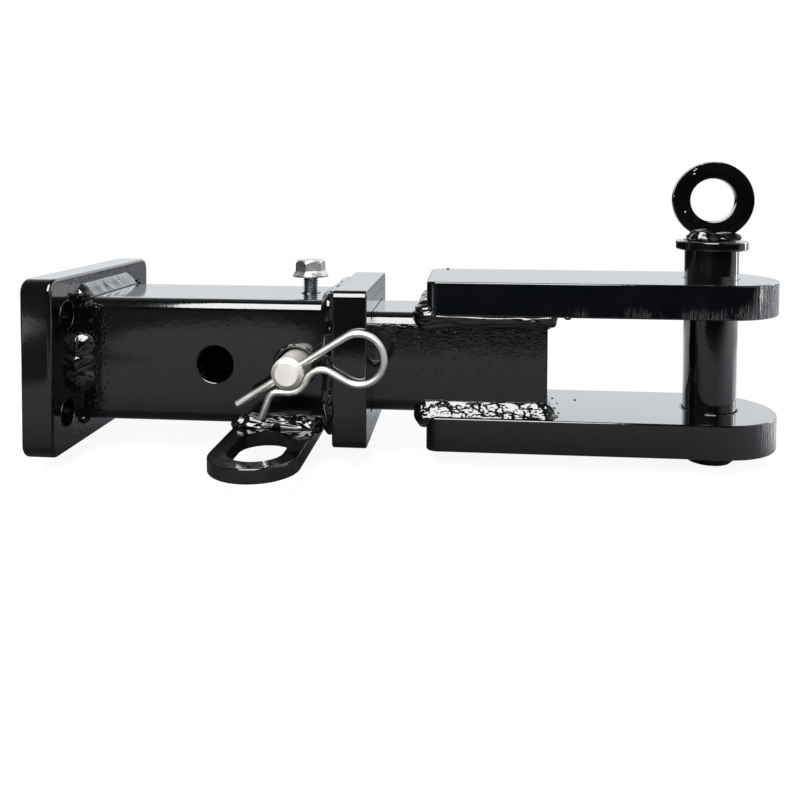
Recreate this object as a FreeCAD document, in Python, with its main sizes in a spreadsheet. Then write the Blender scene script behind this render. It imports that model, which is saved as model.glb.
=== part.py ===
import FreeCAD, Part
import math
import os
import Sketcher

# Bolt-on towing receiver with a clevis drawbar pinned in its mouth.
# X runs along the tube from the mounting plate to the clevis, Y is across and Z is up.
# The origin is the middle of the mounting plate's back face, on the tube's axis.

SIZES = {
    # Mounting plate
    "plate_thickness": 16.0,
    "plate_width": 120.0,
    "plate_height": 88.0,
    "plate_corner_radius": 7.0,
    "plate_edge_radius": 2.0,
    "plate_hole_diameter": 14.0,
    "plate_hole_spread_y": 88.0,
    "plate_hole_spread_z": 49.0,
    # Receiver tube
    "tube_wall": 6.0,
    "tube_corner_radius": 5.7,
    "tube_inner_radius": 1.2,
    "tube_length": 150.6,
    "pin_hole_diameter": 18.6,
    "pin_hole_drop": 1.2,
    "pin_hole_edge_radius": 0.8,
    "pin_hole_from_mouth": 37.7,
    "spare_hole_pitch": 41.3,
    # Mouth collar
    "collar_side_wall": 12.7,
    "collar_top_wall": 7.0,
    "collar_length": 17.0,
    "collar_corner_radius": 3.8,
    "collar_edge_radius": 1.0,
    "collar_slip": 0.2,
    # Safety-chain plate
    "chain_plate_width": 42.5,
    "chain_plate_reach": 95.7,
    "chain_plate_thickness": 7.0,
    "chain_plate_gap": 2.05,
    "chain_plate_edge_radius": 0.8,
    "chain_eye_width": 26.0,
    "chain_eye_length": 44.8,
    "chain_eye_rim": 9.4,
    # Drawbar shank
    "shank_width": 50.8,
    "shank_corner_radius": 6.9,
    "shank_wall": 6.35,
    "shank_inner_radius": 2.0,
    "shank_slip": 0.35,
    "shank_tail": 28.0,
    "shank_reach": 126.0,
    # Clevis plates
    "clevis_thickness": 17.0,
    "clevis_overhang": 6.8,
    "clevis_start": 65.9,
    "clevis_corner_radius": 5.5,
    "clevis_edge_radius": 0.8,
    "clevis_pin_distance": 211.3,
    "clevis_pin_slip": 0.5,
    # Clevis pin, its stop flange and its pull ring
    "clevis_pin_diameter": 26.4,
    "clevis_pin_foot": 9.8,
    "clevis_pin_chamfer": 2.5,
    "clevis_pin_raise": 14.9,
    "clevis_pin_stub": 0.8,
    "cross_hole_diameter": 6.5,
    "cross_hole_height": 18.0,
    "flange_diameter": 35.2,
    "flange_thickness": 4.6,
    "flange_edge_radius": 0.8,
    "ring_outer_diameter": 39.4,
    "ring_inner_diameter": 22.2,
    "ring_thickness": 8.0,
    "ring_edge_radius": 1.8,
    "ring_root_gap": 0.3,
    # Hitch pin
    "hitch_pin_diameter": 15.5,
    "hitch_pin_lift": 0.4,
    "hitch_pin_far_gap": 5.25,
    "hitch_pin_chamfer": 2.2,
    "hitch_pin_bend_radius": 14.0,
    "hitch_pin_leg": 42.0,
    "hitch_pin_rest_gap": 0.5,
    # Spring wire clip
    "clip_wire_diameter": 3.4,
    "clip_hole_slip": 0.3,
    "clip_end_distance": 5.0,
    "clip_collar_gap": 1.35,
    "clip_angle": 32.3,
    "clip_leg": 30.0,
    "clip_loop_x": 32.8,
    "clip_loop_radius": 12.4,
    "clip_return_angle": 118.5,
    "clip_crest_radius": 8.0,
    "clip_grip_gap": 0.3,
    "clip_lead_angle": 147.7,
    "clip_lead_length": 5.0,
    "clip_flare_radius": 5.0,
    "clip_flare_angle": 217.0,
    "clip_flare_length": 9.9,
    # Anti-rattle bolt
    "bolt_from_mouth": 35.9,
    "bolt_thread_diameter": 8.0,
    "bolt_thread_slip": 0.05,
    "bolt_thread_chamfer": 1.0,
    "bolt_standoff": 8.9,
    "bolt_tip_gap": 0.3,
    "bolt_flange_diameter": 19.0,
    "bolt_flange_rim": 1.2,
    "bolt_flange_height": 3.0,
    "bolt_hex_width": 14.0,
    "bolt_head_height": 9.0,
    "bolt_crown_angle": 30.0,
    "bolt_turn": 21.6,
    # Weld beads
    "plate_weld_radius": 7.0,
    "bottom_weld_radius": 3.5,
    "side_weld_radius": 6.6,
    "side_weld_pitch": 7.2,
    "collar_weld_length": 7.0,
    "collar_weld_height": 5.0,
    "collar_weld_round": 4.2,
    "chain_weld_radius": 5.8,
    "chain_weld_overrun": 1.8,
    "clevis_weld_radius": 6.6,
    "clevis_weld_inset": 2.5,
    "clevis_back_weld_radius": 5.8,
    "clevis_front_weld_radius": 3.6,
    "ring_weld_radius": 5.6,
    "ring_weld_length": 14.0,
    "ring_weld_rise": 0.6,
}

doc = FreeCAD.newDocument("receiver_hitch")
sheet = doc.addObject("Spreadsheet::Sheet", "Sizes")
for row, (alias, size) in enumerate(SIZES.items(), start=1):
    sheet.set("A%d" % row, alias.replace("_", " "))
    sheet.set("B%d" % row, str(size))
    sheet.setAlias("B%d" % row, alias)
doc.recompute()

# Placings that several pieces share, as formulas of the sheet.
TUBE_WIDTH = "(Sizes.shank_width + 2 * Sizes.shank_slip + 2 * Sizes.tube_wall)"
TUBE_HALF = "(%s / 2)" % TUBE_WIDTH
COLLAR_WIDTH = "(%s + 2 * Sizes.collar_side_wall)" % TUBE_WIDTH
COLLAR_HEIGHT = "(%s + 2 * Sizes.collar_top_wall)" % TUBE_WIDTH
SHANK_HALF = "(Sizes.shank_width / 2)"
MOUTH_X = "(Sizes.plate_thickness + Sizes.tube_length)"
COLLAR_X = "(%s - Sizes.collar_length)" % MOUTH_X
CHAIN_BACKSET = "(Sizes.collar_weld_length + Sizes.chain_plate_gap + Sizes.chain_plate_width / 2)"
CHAIN_X = "(%s - %s)" % (COLLAR_X, CHAIN_BACKSET)
CHAIN_EYE_Y = "(Sizes.chain_plate_reach - Sizes.chain_eye_rim - Sizes.chain_eye_length / 2)"
BOLT_X = "(%s - Sizes.bolt_from_mouth)" % MOUTH_X
PIN_X = "(%s - Sizes.pin_hole_from_mouth)" % MOUTH_X
PIN_Z = "(Sizes.hitch_pin_lift - Sizes.pin_hole_drop)"
SHANK_BACK = "(%s - Sizes.shank_tail)" % PIN_X
SHANK_FRONT = "(%s + Sizes.shank_reach)" % PIN_X
CLEVIS_BACK = "(%s + Sizes.clevis_start)" % PIN_X
CLEVIS_PIN_X = "(%s + Sizes.clevis_pin_distance)" % PIN_X
CLEVIS_WIDTH = "(Sizes.shank_width + 2 * Sizes.clevis_overhang)"
CLEVIS_TOP = "(Sizes.shank_width / 2 + Sizes.clevis_thickness)"
CLEVIS_PIN_LENGTH = "(2 * %s + Sizes.clevis_pin_raise + Sizes.clevis_pin_foot)" % CLEVIS_TOP
FLANGE_Z = "(%s + Sizes.clevis_pin_raise)" % CLEVIS_TOP
FLANGE_TOP = "(%s + Sizes.flange_thickness)" % FLANGE_Z
RING_FOOT = "(%s + Sizes.clevis_pin_stub + Sizes.ring_root_gap)" % FLANGE_TOP
RING_Z = "(%s + Sizes.ring_outer_diameter / 2)" % RING_FOOT
CLIP_Y = "(-%s / 2 - Sizes.clip_collar_gap - Sizes.clip_wire_diameter / 2)" % COLLAR_WIDTH
HITCH_PIN_NEAR = "(%s - Sizes.clip_end_distance)" % CLIP_Y
HITCH_PIN_FAR = "(%s + Sizes.hitch_pin_far_gap)" % TUBE_HALF

X_AXIS = FreeCAD.Vector(1, 0, 0)
Y_AXIS = FreeCAD.Vector(0, 1, 0)
Z_AXIS = FreeCAD.Vector(0, 0, 1)
ORIGIN = (-1, 1)
ALONG = {
    "X": FreeCAD.Rotation(Y_AXIS, 90),
    "Y": FreeCAD.Rotation(X_AXIS, -90),
    "Z": FreeCAD.Rotation(),
}


def number(formula):
    """The value of a formula of the sheet."""
    return float(sheet.evalExpression(str(formula)))


def bind(thing, **formulas):
    """Ties properties of an object to formulas of the sheet."""
    for name, formula in formulas.items():
        thing.setExpression(name, formula)


def locate(thing, x="0", y="0", z="0"):
    """Ties an object's place to formulas of the sheet."""
    for axis, formula in (("x", x), ("y", y), ("z", z)):
        thing.setExpression("Placement.Base." + axis, formula)


def new_body(label):
    body = doc.addObject("PartDesign::Body", label)
    body.Label = label
    return body


def new_sketch(body, name, role, offset="0"):
    """A sketch on one of the body's own planes, moved along the plane's normal."""
    sketch = body.newObject("Sketcher::SketchObject", name)
    plane = next(item for item in body.Origin.OriginFeatures if item.Role == role)
    sketch.AttachmentSupport = (plane, [""])
    sketch.MapMode = "FlatFace"
    sketch.setExpression("AttachmentOffset.Base.z", offset)
    return sketch


def tie(sketch, kind, *items, to):
    """A dimension of a sketch that follows a formula of the sheet."""
    scale = math.pi / 180 if kind == "Angle" else 1.0
    index = sketch.addConstraint(Sketcher.Constraint(kind, *items, number(to) * scale))
    sketch.renameConstraint(index, "size_%d" % index)
    sketch.setExpression("Constraints.size_%d" % index, to + " * 1 deg" if kind == "Angle" else to)


def fix_point(sketch, geometry, point, x="0", y="0"):
    """Places a point of a sketch from the sketch's origin."""
    if x == "0":
        sketch.addConstraint(Sketcher.Constraint("PointOnObject", geometry, point, -2))
    else:
        tie(sketch, "DistanceX", *ORIGIN, geometry, point, to=x)
    if y == "0":
        sketch.addConstraint(Sketcher.Constraint("PointOnObject", geometry, point, -1))
    else:
        tie(sketch, "DistanceY", *ORIGIN, geometry, point, to=y)


def line(sketch, start, end):
    return sketch.addGeometry(Part.LineSegment(FreeCAD.Vector(*start), FreeCAD.Vector(*end)))


def arc(sketch, centre, radius, first, last):
    """An arc that runs anticlockwise from the first angle to the last, in degrees."""
    circle = Part.Circle(FreeCAD.Vector(*centre), Z_AXIS, radius)
    return sketch.addGeometry(Part.ArcOfCircle(circle, math.radians(first), math.radians(last)))


def join(sketch, *ends):
    """Tangent joints between the given pairs of curve ends."""
    for first, first_point, second, second_point in ends:
        sketch.addConstraint(Sketcher.Constraint("Tangent", first, first_point, second, second_point))


def circle_in(sketch, diameter, x="0", y="0"):
    """A circle whose middle and diameter follow the sheet."""
    centre = FreeCAD.Vector(number(x), number(y))
    index = sketch.addGeometry(Part.Circle(centre, Z_AXIS, number(diameter) / 2))
    tie(sketch, "Diameter", index, to=diameter)
    fix_point(sketch, index, 3, x, y)


def rounded_rectangle(sketch, width, height, radius):
    """A rectangle round the sketch's origin with equal round corners."""
    w = number(width) / 2
    h = number(height) / 2
    r = number(radius)
    sides = [
        line(sketch, (r - w, -h), (w - r, -h)),
        line(sketch, (w, r - h), (w, h - r)),
        line(sketch, (w - r, h), (r - w, h)),
        line(sketch, (-w, h - r), (-w, r - h)),
    ]
    corners = [
        arc(sketch, (w - r, r - h), r, 270, 360),
        arc(sketch, (w - r, h - r), r, 0, 90),
        arc(sketch, (r - w, h - r), r, 90, 180),
        arc(sketch, (r - w, r - h), r, 180, 270),
    ]
    for index in range(4):
        join(sketch, (sides[index], 2, corners[index], 1))
        join(sketch, (corners[index], 2, sides[(index + 1) % 4], 1))
        sketch.addConstraint(Sketcher.Constraint("Horizontal" if index % 2 == 0 else "Vertical", sides[index]))
    for corner in corners[1:]:
        sketch.addConstraint(Sketcher.Constraint("Equal", corners[0], corner))
    tie(sketch, "Radius", corners[0], to=radius)
    sketch.addConstraint(Sketcher.Constraint("Symmetric", corners[0], 3, corners[2], 3, *ORIGIN))
    tie(sketch, "DistanceX", sides[3], 1, sides[1], 1, to=width)
    tie(sketch, "DistanceY", sides[0], 1, sides[2], 1, to=height)


def slot(sketch, width, length, y="0"):
    """A slot along the sketch's second axis with round ends, its middle at the given height."""
    r = number(width) / 2
    middle = number(y)
    reach = number(length) / 2 - r
    right = line(sketch, (r, middle - reach), (r, middle + reach))
    top = arc(sketch, (0, middle + reach), r, 0, 180)
    left = line(sketch, (-r, middle + reach), (-r, middle - reach))
    bottom = arc(sketch, (0, middle - reach), r, 180, 360)
    join(sketch, (right, 2, top, 1), (top, 2, left, 1), (left, 2, bottom, 1), (bottom, 2, right, 1))
    tie(sketch, "Diameter", top, to=width)
    fix_point(sketch, top, 3, y="%s + (%s - %s) / 2" % (y, length, width))
    fix_point(sketch, bottom, 3, y="%s - (%s - %s) / 2" % (y, length, width))


def pad(body, sketch, name, length, symmetric=False):
    feature = body.newObject("PartDesign::Pad", name)
    feature.Profile = sketch
    feature.SideType = "Symmetric" if symmetric else "One side"
    bind(feature, Length=length)
    doc.recompute()
    return feature


def cut_through(body, sketch, name):
    """A pocket through the whole body both ways, which has to take some volume away."""
    before = body.Shape.Volume
    feature = body.newObject("PartDesign::Pocket", name)
    feature.Profile = sketch
    feature.Type = "ThroughAll"
    feature.SideType = "Symmetric"
    doc.recompute()
    if body.Shape.Volume >= before:
        raise RuntimeError("%s cuts nothing" % name)
    return feature


def bore(body, name, diameter, axis, length, x="0", y="0", z="0", turn=0.0):
    """A round hole along an axis, turned about Y, its middle at the given place."""
    before = body.Shape.Volume
    drill = body.newObject("PartDesign::SubtractiveCylinder", name)
    rotation = FreeCAD.Rotation(Y_AXIS, turn).multiply(ALONG[axis])
    back = rotation.multVec(Z_AXIS) * (number(length) / 2)
    drill.Placement = FreeCAD.Placement(FreeCAD.Vector(), rotation)
    bind(drill, Radius="%s / 2" % diameter, Height=length)
    locate(drill, *("%s - (%.9f)" % pair for pair in zip((x, y, z), back)))
    doc.recompute()
    if body.Shape.Volume >= before:
        raise RuntimeError("%s cuts nothing" % name)


def round_edges(body, feature, name, radius, test, kind="Fillet"):
    """Rounds or bevels the edges of a feature that pass a test."""
    names = ["Edge%d" % index for index, edge in enumerate(feature.Shape.Edges, start=1) if test(edge)]
    if not names:
        raise RuntimeError("%s finds no edges" % name)
    dress = body.newObject("PartDesign::" + kind, name)
    dress.Base = (feature, names)
    dress.setExpression("Radius" if kind == "Fillet" else "Size", radius)
    doc.recompute()
    return dress


def flat_in(axis, *places, ring=None):
    """A test for edges that lie in planes across an axis, or only the circles of one diameter there."""
    def test(edge):
        if ring and abs(2 * getattr(edge.Curve, "Radius", 0) - number(ring)) > 1e-3:
            return False
        low = getattr(edge.BoundBox, axis + "Min")
        high = getattr(edge.BoundBox, axis + "Max")
        return high - low < 1e-4 and any(abs(low - place) < 1e-3 for place in places)
    return test


def mounting_plate():
    body = new_body("mounting_plate")
    outline = new_sketch(body, "plate_outline", "YZ_Plane")
    rounded_rectangle(outline, "Sizes.plate_width", "Sizes.plate_height", "Sizes.plate_corner_radius")
    slab = pad(body, outline, "plate_slab", "Sizes.plate_thickness")
    faces = flat_in("X", 0, number("Sizes.plate_thickness"))
    round_edges(body, slab, "plate_edges", "Sizes.plate_edge_radius", faces)
    holes = new_sketch(body, "plate_holes", "YZ_Plane")
    for side in ("", "-"):
        for level in ("", "-"):
            circle_in(holes, "Sizes.plate_hole_diameter", side + "Sizes.plate_hole_spread_y / 2",
                      level + "Sizes.plate_hole_spread_z / 2")
    cut_through(body, holes, "plate_hole_cut")
    return body


def square_bar(label, width, radius, start, end):
    """A square bar along X with round corners, from one place to the other."""
    body = new_body(label)
    outline = new_sketch(body, label + "_outline", "YZ_Plane")
    rounded_rectangle(outline, width, width, radius)
    pad(body, outline, label + "_bar", "%s - %s" % (end, start))
    locate(body, x=start)
    return body


def receiver_tube():
    body = square_bar("receiver_tube", TUBE_WIDTH, "Sizes.tube_corner_radius", "Sizes.plate_thickness", MOUTH_X)
    hollow = new_sketch(body, "tube_hollow", "YZ_Plane")
    inside = "Sizes.shank_width + 2 * Sizes.shank_slip"
    rounded_rectangle(hollow, inside, inside, "Sizes.tube_inner_radius")
    cut_through(body, hollow, "tube_hollow_cut")
    first = PIN_X + " - Sizes.plate_thickness"
    across = TUBE_WIDTH + " * 2"
    for name, x in (("front_pin_hole", first), ("spare_pin_hole", first + " - Sizes.spare_hole_pitch")):
        bore(body, name, "Sizes.pin_hole_diameter", "Y", across, x=x, z="-Sizes.pin_hole_drop")
    round_edges(body, body.Tip, "pin_hole_rims", "Sizes.pin_hole_edge_radius",
                flat_in("Y", -number(TUBE_HALF), number(TUBE_HALF), ring="Sizes.pin_hole_diameter"))
    tapped = "(Sizes.bolt_thread_diameter + 2 * Sizes.bolt_thread_slip)"
    bore(body, "tapped_hole", tapped, "Z", TUBE_HALF, x=BOLT_X + " - Sizes.plate_thickness", z=TUBE_HALF)
    return body


def mouth_collar():
    body = new_body("mouth_collar")
    outline = new_sketch(body, "collar_outline", "YZ_Plane")
    rounded_rectangle(outline, COLLAR_WIDTH, COLLAR_HEIGHT, "Sizes.collar_corner_radius")
    block = pad(body, outline, "collar_block", "Sizes.collar_length")
    ends = flat_in("X", 0, number("Sizes.collar_length"))
    round_edges(body, block, "collar_edges", "Sizes.collar_edge_radius", ends)
    opening = new_sketch(body, "collar_opening", "YZ_Plane")
    inside = TUBE_WIDTH + " + 2 * Sizes.collar_slip"
    rounded_rectangle(opening, inside, inside, "Sizes.tube_corner_radius + Sizes.collar_slip")
    cut_through(body, opening, "collar_opening_cut")
    locate(body, x=COLLAR_X)
    return body


def chain_plate():
    body = new_body("chain_plate")
    outline = new_sketch(body, "chain_outline", "XY_Plane")
    slot(outline, "Sizes.chain_plate_width", "2 * Sizes.chain_plate_reach")
    strip = pad(body, outline, "chain_strip", "Sizes.chain_plate_thickness")
    faces = flat_in("Z", 0, number("Sizes.chain_plate_thickness"))
    round_edges(body, strip, "chain_edges", "Sizes.chain_plate_edge_radius", faces)
    eyes = new_sketch(body, "chain_eyes", "XY_Plane")
    for side in ("", "-"):
        slot(eyes, "Sizes.chain_eye_width", "Sizes.chain_eye_length", side + CHAIN_EYE_Y)
    cut_through(body, eyes, "chain_eye_cut")
    locate(body, x=CHAIN_X, z="-%s - Sizes.chain_plate_thickness" % TUBE_HALF)
    return body


def shank():
    body = square_bar("shank", "Sizes.shank_width", "Sizes.shank_corner_radius", SHANK_BACK, SHANK_FRONT)
    hollow = new_sketch(body, "shank_hollow", "YZ_Plane")
    inside = "Sizes.shank_width - 2 * Sizes.shank_wall"
    rounded_rectangle(hollow, inside, inside, "Sizes.shank_inner_radius")
    cut_through(body, hollow, "shank_hollow_cut")
    bore(body, "shank_pin_hole", "Sizes.pin_hole_diameter", "Y", "Sizes.shank_width * 2",
         x="Sizes.shank_tail", z="-Sizes.pin_hole_drop")
    return body


def clevis_plate(label, z):
    """A thick plate with a square back end and a half-round front end about the clevis pin."""
    body = new_body(label)
    outline = new_sketch(body, label + "_outline", "XY_Plane")
    half = number(CLEVIS_WIDTH) / 2
    end_x = "Sizes.clevis_start - Sizes.clevis_pin_distance"
    back = number(end_x)
    r = number("Sizes.clevis_corner_radius")
    near = line(outline, (back + r, -half), (0, -half))
    front = arc(outline, (0, 0), half, -90, 90)
    far = line(outline, (0, half), (back + r, half))
    far_corner = arc(outline, (back + r, half - r), r, 90, 180)
    end = line(outline, (back, half - r), (back, r - half))
    near_corner = arc(outline, (back + r, r - half), r, 180, 270)
    join(outline, (near, 2, front, 1), (front, 2, far, 1), (far, 2, far_corner, 1),
         (far_corner, 2, end, 1), (end, 2, near_corner, 1), (near_corner, 2, near, 1))
    fix_point(outline, front, 3)
    outline.addConstraint(Sketcher.Constraint("Horizontal", near))
    outline.addConstraint(Sketcher.Constraint("Horizontal", far))
    outline.addConstraint(Sketcher.Constraint("Vertical", end))
    outline.addConstraint(Sketcher.Constraint("Equal", near_corner, far_corner))
    tie(outline, "Diameter", front, to=CLEVIS_WIDTH)
    tie(outline, "Radius", near_corner, to="Sizes.clevis_corner_radius")
    tie(outline, "DistanceX", *ORIGIN, end, 1, to=end_x)
    slab = pad(body, outline, label + "_slab", "Sizes.clevis_thickness")
    faces = flat_in("Z", 0, number("Sizes.clevis_thickness"))
    round_edges(body, slab, label + "_edges", "Sizes.clevis_edge_radius", faces)
    hole = new_sketch(body, label + "_hole", "XY_Plane")
    circle_in(hole, "Sizes.clevis_pin_diameter + 2 * Sizes.clevis_pin_slip")
    cut_through(body, hole, label + "_hole_cut")
    locate(body, x=CLEVIS_PIN_X, z=z)
    return body


def clevis_pin():
    body = new_body("clevis_pin")
    section = new_sketch(body, "clevis_pin_section", "XY_Plane", "-" + CLEVIS_PIN_LENGTH)
    circle_in(section, "Sizes.clevis_pin_diameter")
    length = CLEVIS_PIN_LENGTH + " + Sizes.flange_thickness + Sizes.clevis_pin_stub"
    rod = pad(body, section, "clevis_pin_rod", length)
    foot = flat_in("Z", -number(CLEVIS_PIN_LENGTH))
    round_edges(body, rod, "clevis_pin_foot", "Sizes.clevis_pin_chamfer", foot, kind="Chamfer")
    bore(body, "clevis_pin_cross_hole", "Sizes.cross_hole_diameter", "X", "Sizes.clevis_pin_diameter * 2",
         z="Sizes.cross_hole_height - " + CLEVIS_PIN_LENGTH)
    locate(body, x=CLEVIS_PIN_X, z=FLANGE_Z)
    return body


def pin_flange():
    body = new_body("pin_flange")
    outline = new_sketch(body, "flange_outline", "XY_Plane")
    circle_in(outline, "Sizes.flange_diameter")
    disc = pad(body, outline, "flange_disc", "Sizes.flange_thickness")
    rims = flat_in("Z", 0, number("Sizes.flange_thickness"))
    round_edges(body, disc, "flange_rims", "Sizes.flange_edge_radius", rims)
    hole = new_sketch(body, "flange_hole", "XY_Plane")
    circle_in(hole, "Sizes.clevis_pin_diameter")
    cut_through(body, hole, "flange_hole_cut")
    locate(body, x=CLEVIS_PIN_X, z=FLANGE_Z)
    return body


def pull_ring():
    body = new_body("pull_ring")
    outline = new_sketch(body, "ring_outline", "XZ_Plane")
    circle_in(outline, "Sizes.ring_outer_diameter")
    circle_in(outline, "Sizes.ring_inner_diameter")
    disc = pad(body, outline, "ring_disc", "Sizes.ring_thickness", symmetric=True)
    half = number("Sizes.ring_thickness") / 2
    round_edges(body, disc, "ring_edges", "Sizes.ring_edge_radius", flat_in("Y", -half, half))
    locate(body, x=CLEVIS_PIN_X, z=RING_Z)
    return body


def sweep(body, name, section, path):
    pipe = body.newObject("PartDesign::AdditivePipe", name)
    pipe.Profile = section
    pipe.Spine = path
    doc.recompute()
    return pipe


def handle_angle():
    """How far below level the hitch pin's leg leans, down to the chain plate's back edge."""
    run = number("%s - %s + Sizes.chain_plate_width / 2" % (PIN_X, CHAIN_X))
    fall = number("%s + %s" % (TUBE_HALF, PIN_Z))
    keep = number("Sizes.hitch_pin_diameter / 2 + Sizes.hitch_pin_rest_gap")
    return math.degrees(math.atan2(fall, run) - math.asin(keep / math.hypot(run, fall)))


def hitch_pin():
    """A bent pin along Y with its leg turned back and down, and a cross hole for the clip."""
    body = new_body("hitch_pin")
    path = new_sketch(body, "hitch_pin_path", "XY_Plane")
    path.AttachmentOffset = FreeCAD.Placement(FreeCAD.Vector(), FreeCAD.Rotation(Y_AXIS, -handle_angle()))
    bend = number("Sizes.hitch_pin_bend_radius")
    far = number(HITCH_PIN_FAR)
    shaft = line(path, (0, number(HITCH_PIN_NEAR)), (0, far))
    elbow = arc(path, (-bend, far), bend, 0, 90)
    leg = line(path, (-bend, far + bend), (-bend - number("Sizes.hitch_pin_leg"), far + bend))
    join(path, (shaft, 2, elbow, 1), (elbow, 2, leg, 1))
    fix_point(path, shaft, 1, y=HITCH_PIN_NEAR)
    fix_point(path, shaft, 2, y=HITCH_PIN_FAR)
    tie(path, "Radius", elbow, to="Sizes.hitch_pin_bend_radius")
    path.addConstraint(Sketcher.Constraint("Horizontal", leg))
    tie(path, "Distance", leg, to="Sizes.hitch_pin_leg")
    section = new_sketch(body, "hitch_pin_section", "XZ_Plane", "-" + HITCH_PIN_NEAR)
    circle_in(section, "Sizes.hitch_pin_diameter")
    rod = sweep(body, "hitch_pin_rod", section, path)
    full_circles = 2 * math.pi * number("Sizes.hitch_pin_diameter") / 2

    def rim(edge):
        middle = edge.BoundBox.Center
        at_end = abs(middle.y - number(HITCH_PIN_NEAR)) < 1e-3 or math.hypot(middle.x, middle.z) > bend + 1.0
        return at_end and abs(edge.Length - full_circles) < 1e-2

    round_edges(body, rod, "hitch_pin_ends", "Sizes.hitch_pin_chamfer", rim, kind="Chamfer")
    hole = "(Sizes.clip_wire_diameter + 2 * Sizes.clip_hole_slip)"
    bore(body, "clip_hole", hole, "X", "Sizes.hitch_pin_diameter * 2", y=CLIP_Y,
         turn=-number("Sizes.clip_angle"))
    locate(body, x=PIN_X, z=PIN_Z)
    return body


def turned(point, angle, distance):
    """The point a distance away from another at an angle in degrees."""
    return (point[0] + distance * math.cos(math.radians(angle)),
            point[1] + distance * math.sin(math.radians(angle)))


def r_clip():
    """A spring wire clip: a straight leg through the pin, a loop, and a leg that grips the pin.

    The straight leg lies on the sketch's first axis and the pin's axis is at its origin."""
    body = new_body("r_clip")
    path = new_sketch(body, "clip_path", "XZ_Plane")
    loop_x = number("Sizes.clip_loop_x")
    loop_r = number("Sizes.clip_loop_radius")
    crest_r = number("Sizes.clip_crest_radius")
    grip = "Sizes.hitch_pin_diameter / 2 + Sizes.clip_wire_diameter / 2 + Sizes.clip_grip_gap"
    grip_r = number(grip)
    back = number("Sizes.clip_return_angle")
    lead = number("Sizes.clip_lead_angle")
    flare_r = number("Sizes.clip_flare_radius")
    flare = number("Sizes.clip_flare_angle")
    # The crest touches both the return run and the grip arc round the pin.
    loop_middle = (loop_x, -loop_r)
    loop_end = turned(loop_middle, back + 90, loop_r)
    foot = turned(loop_end, back + 90, crest_r)
    along = -(foot[0] * math.cos(math.radians(back)) + foot[1] * math.sin(math.radians(back)))
    off_line = foot[0] ** 2 + foot[1] ** 2 - along ** 2
    run = along - math.sqrt((grip_r + crest_r) ** 2 - off_line)
    crest_middle = turned(foot, back, run)
    crest_angle = math.degrees(math.atan2(crest_middle[1], crest_middle[0]))
    grip_start = turned((0, 0), crest_angle, grip_r)
    grip_end = turned((0, 0), lead + 90, grip_r)
    lead_end = turned(grip_end, lead, number("Sizes.clip_lead_length"))
    flare_middle = turned(lead_end, lead + 90, flare_r)
    flare_end = turned(flare_middle, flare - 90, flare_r)
    tip = turned(flare_end, flare, number("Sizes.clip_flare_length"))
    leg = line(path, (-number("Sizes.clip_leg"), 0), (loop_x, 0))
    loop = arc(path, loop_middle, loop_r, back + 90 - 360, 90)
    back_run = line(path, loop_end, turned(loop_end, back, run))
    crest = arc(path, crest_middle, crest_r, back - 90, crest_angle + 180)
    hold = arc(path, (0, 0), grip_r, lead + 90 - 360, crest_angle)
    lead_run = line(path, grip_end, lead_end)
    bend = arc(path, flare_middle, flare_r, lead - 90, flare - 90)
    end_run = line(path, flare_end, tip)
    join(path, (leg, 2, loop, 2), (loop, 1, back_run, 1), (back_run, 2, crest, 1), (crest, 2, hold, 2),
         (hold, 1, lead_run, 1), (lead_run, 2, bend, 1), (bend, 2, end_run, 1))
    fix_point(path, leg, 1, x="-Sizes.clip_leg")
    fix_point(path, leg, 2, x="Sizes.clip_loop_x")
    fix_point(path, hold, 3)
    tie(path, "Radius", loop, to="Sizes.clip_loop_radius")
    tie(path, "Radius", crest, to="Sizes.clip_crest_radius")
    tie(path, "Radius", hold, to=grip)
    tie(path, "Radius", bend, to="Sizes.clip_flare_radius")
    tie(path, "Angle", back_run, to="Sizes.clip_return_angle")
    tie(path, "Angle", lead_run, to="Sizes.clip_lead_angle")
    tie(path, "Distance", lead_run, to="Sizes.clip_lead_length")
    tie(path, "Angle", end_run, to="Sizes.clip_flare_angle")
    tie(path, "Distance", end_run, to="Sizes.clip_flare_length")
    section = new_sketch(body, "clip_section", "YZ_Plane", "-Sizes.clip_leg")
    circle_in(section, "Sizes.clip_wire_diameter")
    sweep(body, "clip_wire", section, path)
    body.Placement.Rotation = FreeCAD.Rotation(Y_AXIS, -number("Sizes.clip_angle"))
    locate(body, x=PIN_X, y=CLIP_Y, z=PIN_Z)
    return body


def solid(kind, name, **formulas):
    """A primitive whose sizes follow the sheet."""
    thing = doc.addObject("Part::" + kind, name)
    bind(thing, **formulas)
    return thing


def joined(name, pieces):
    fuse = doc.addObject("Part::MultiFuse", name)
    fuse.Shapes = pieces
    return fuse


def boolean(kind, name, base, tool):
    thing = doc.addObject("Part::" + kind, name)
    thing.Base = base
    thing.Tool = tool
    return thing


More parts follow.
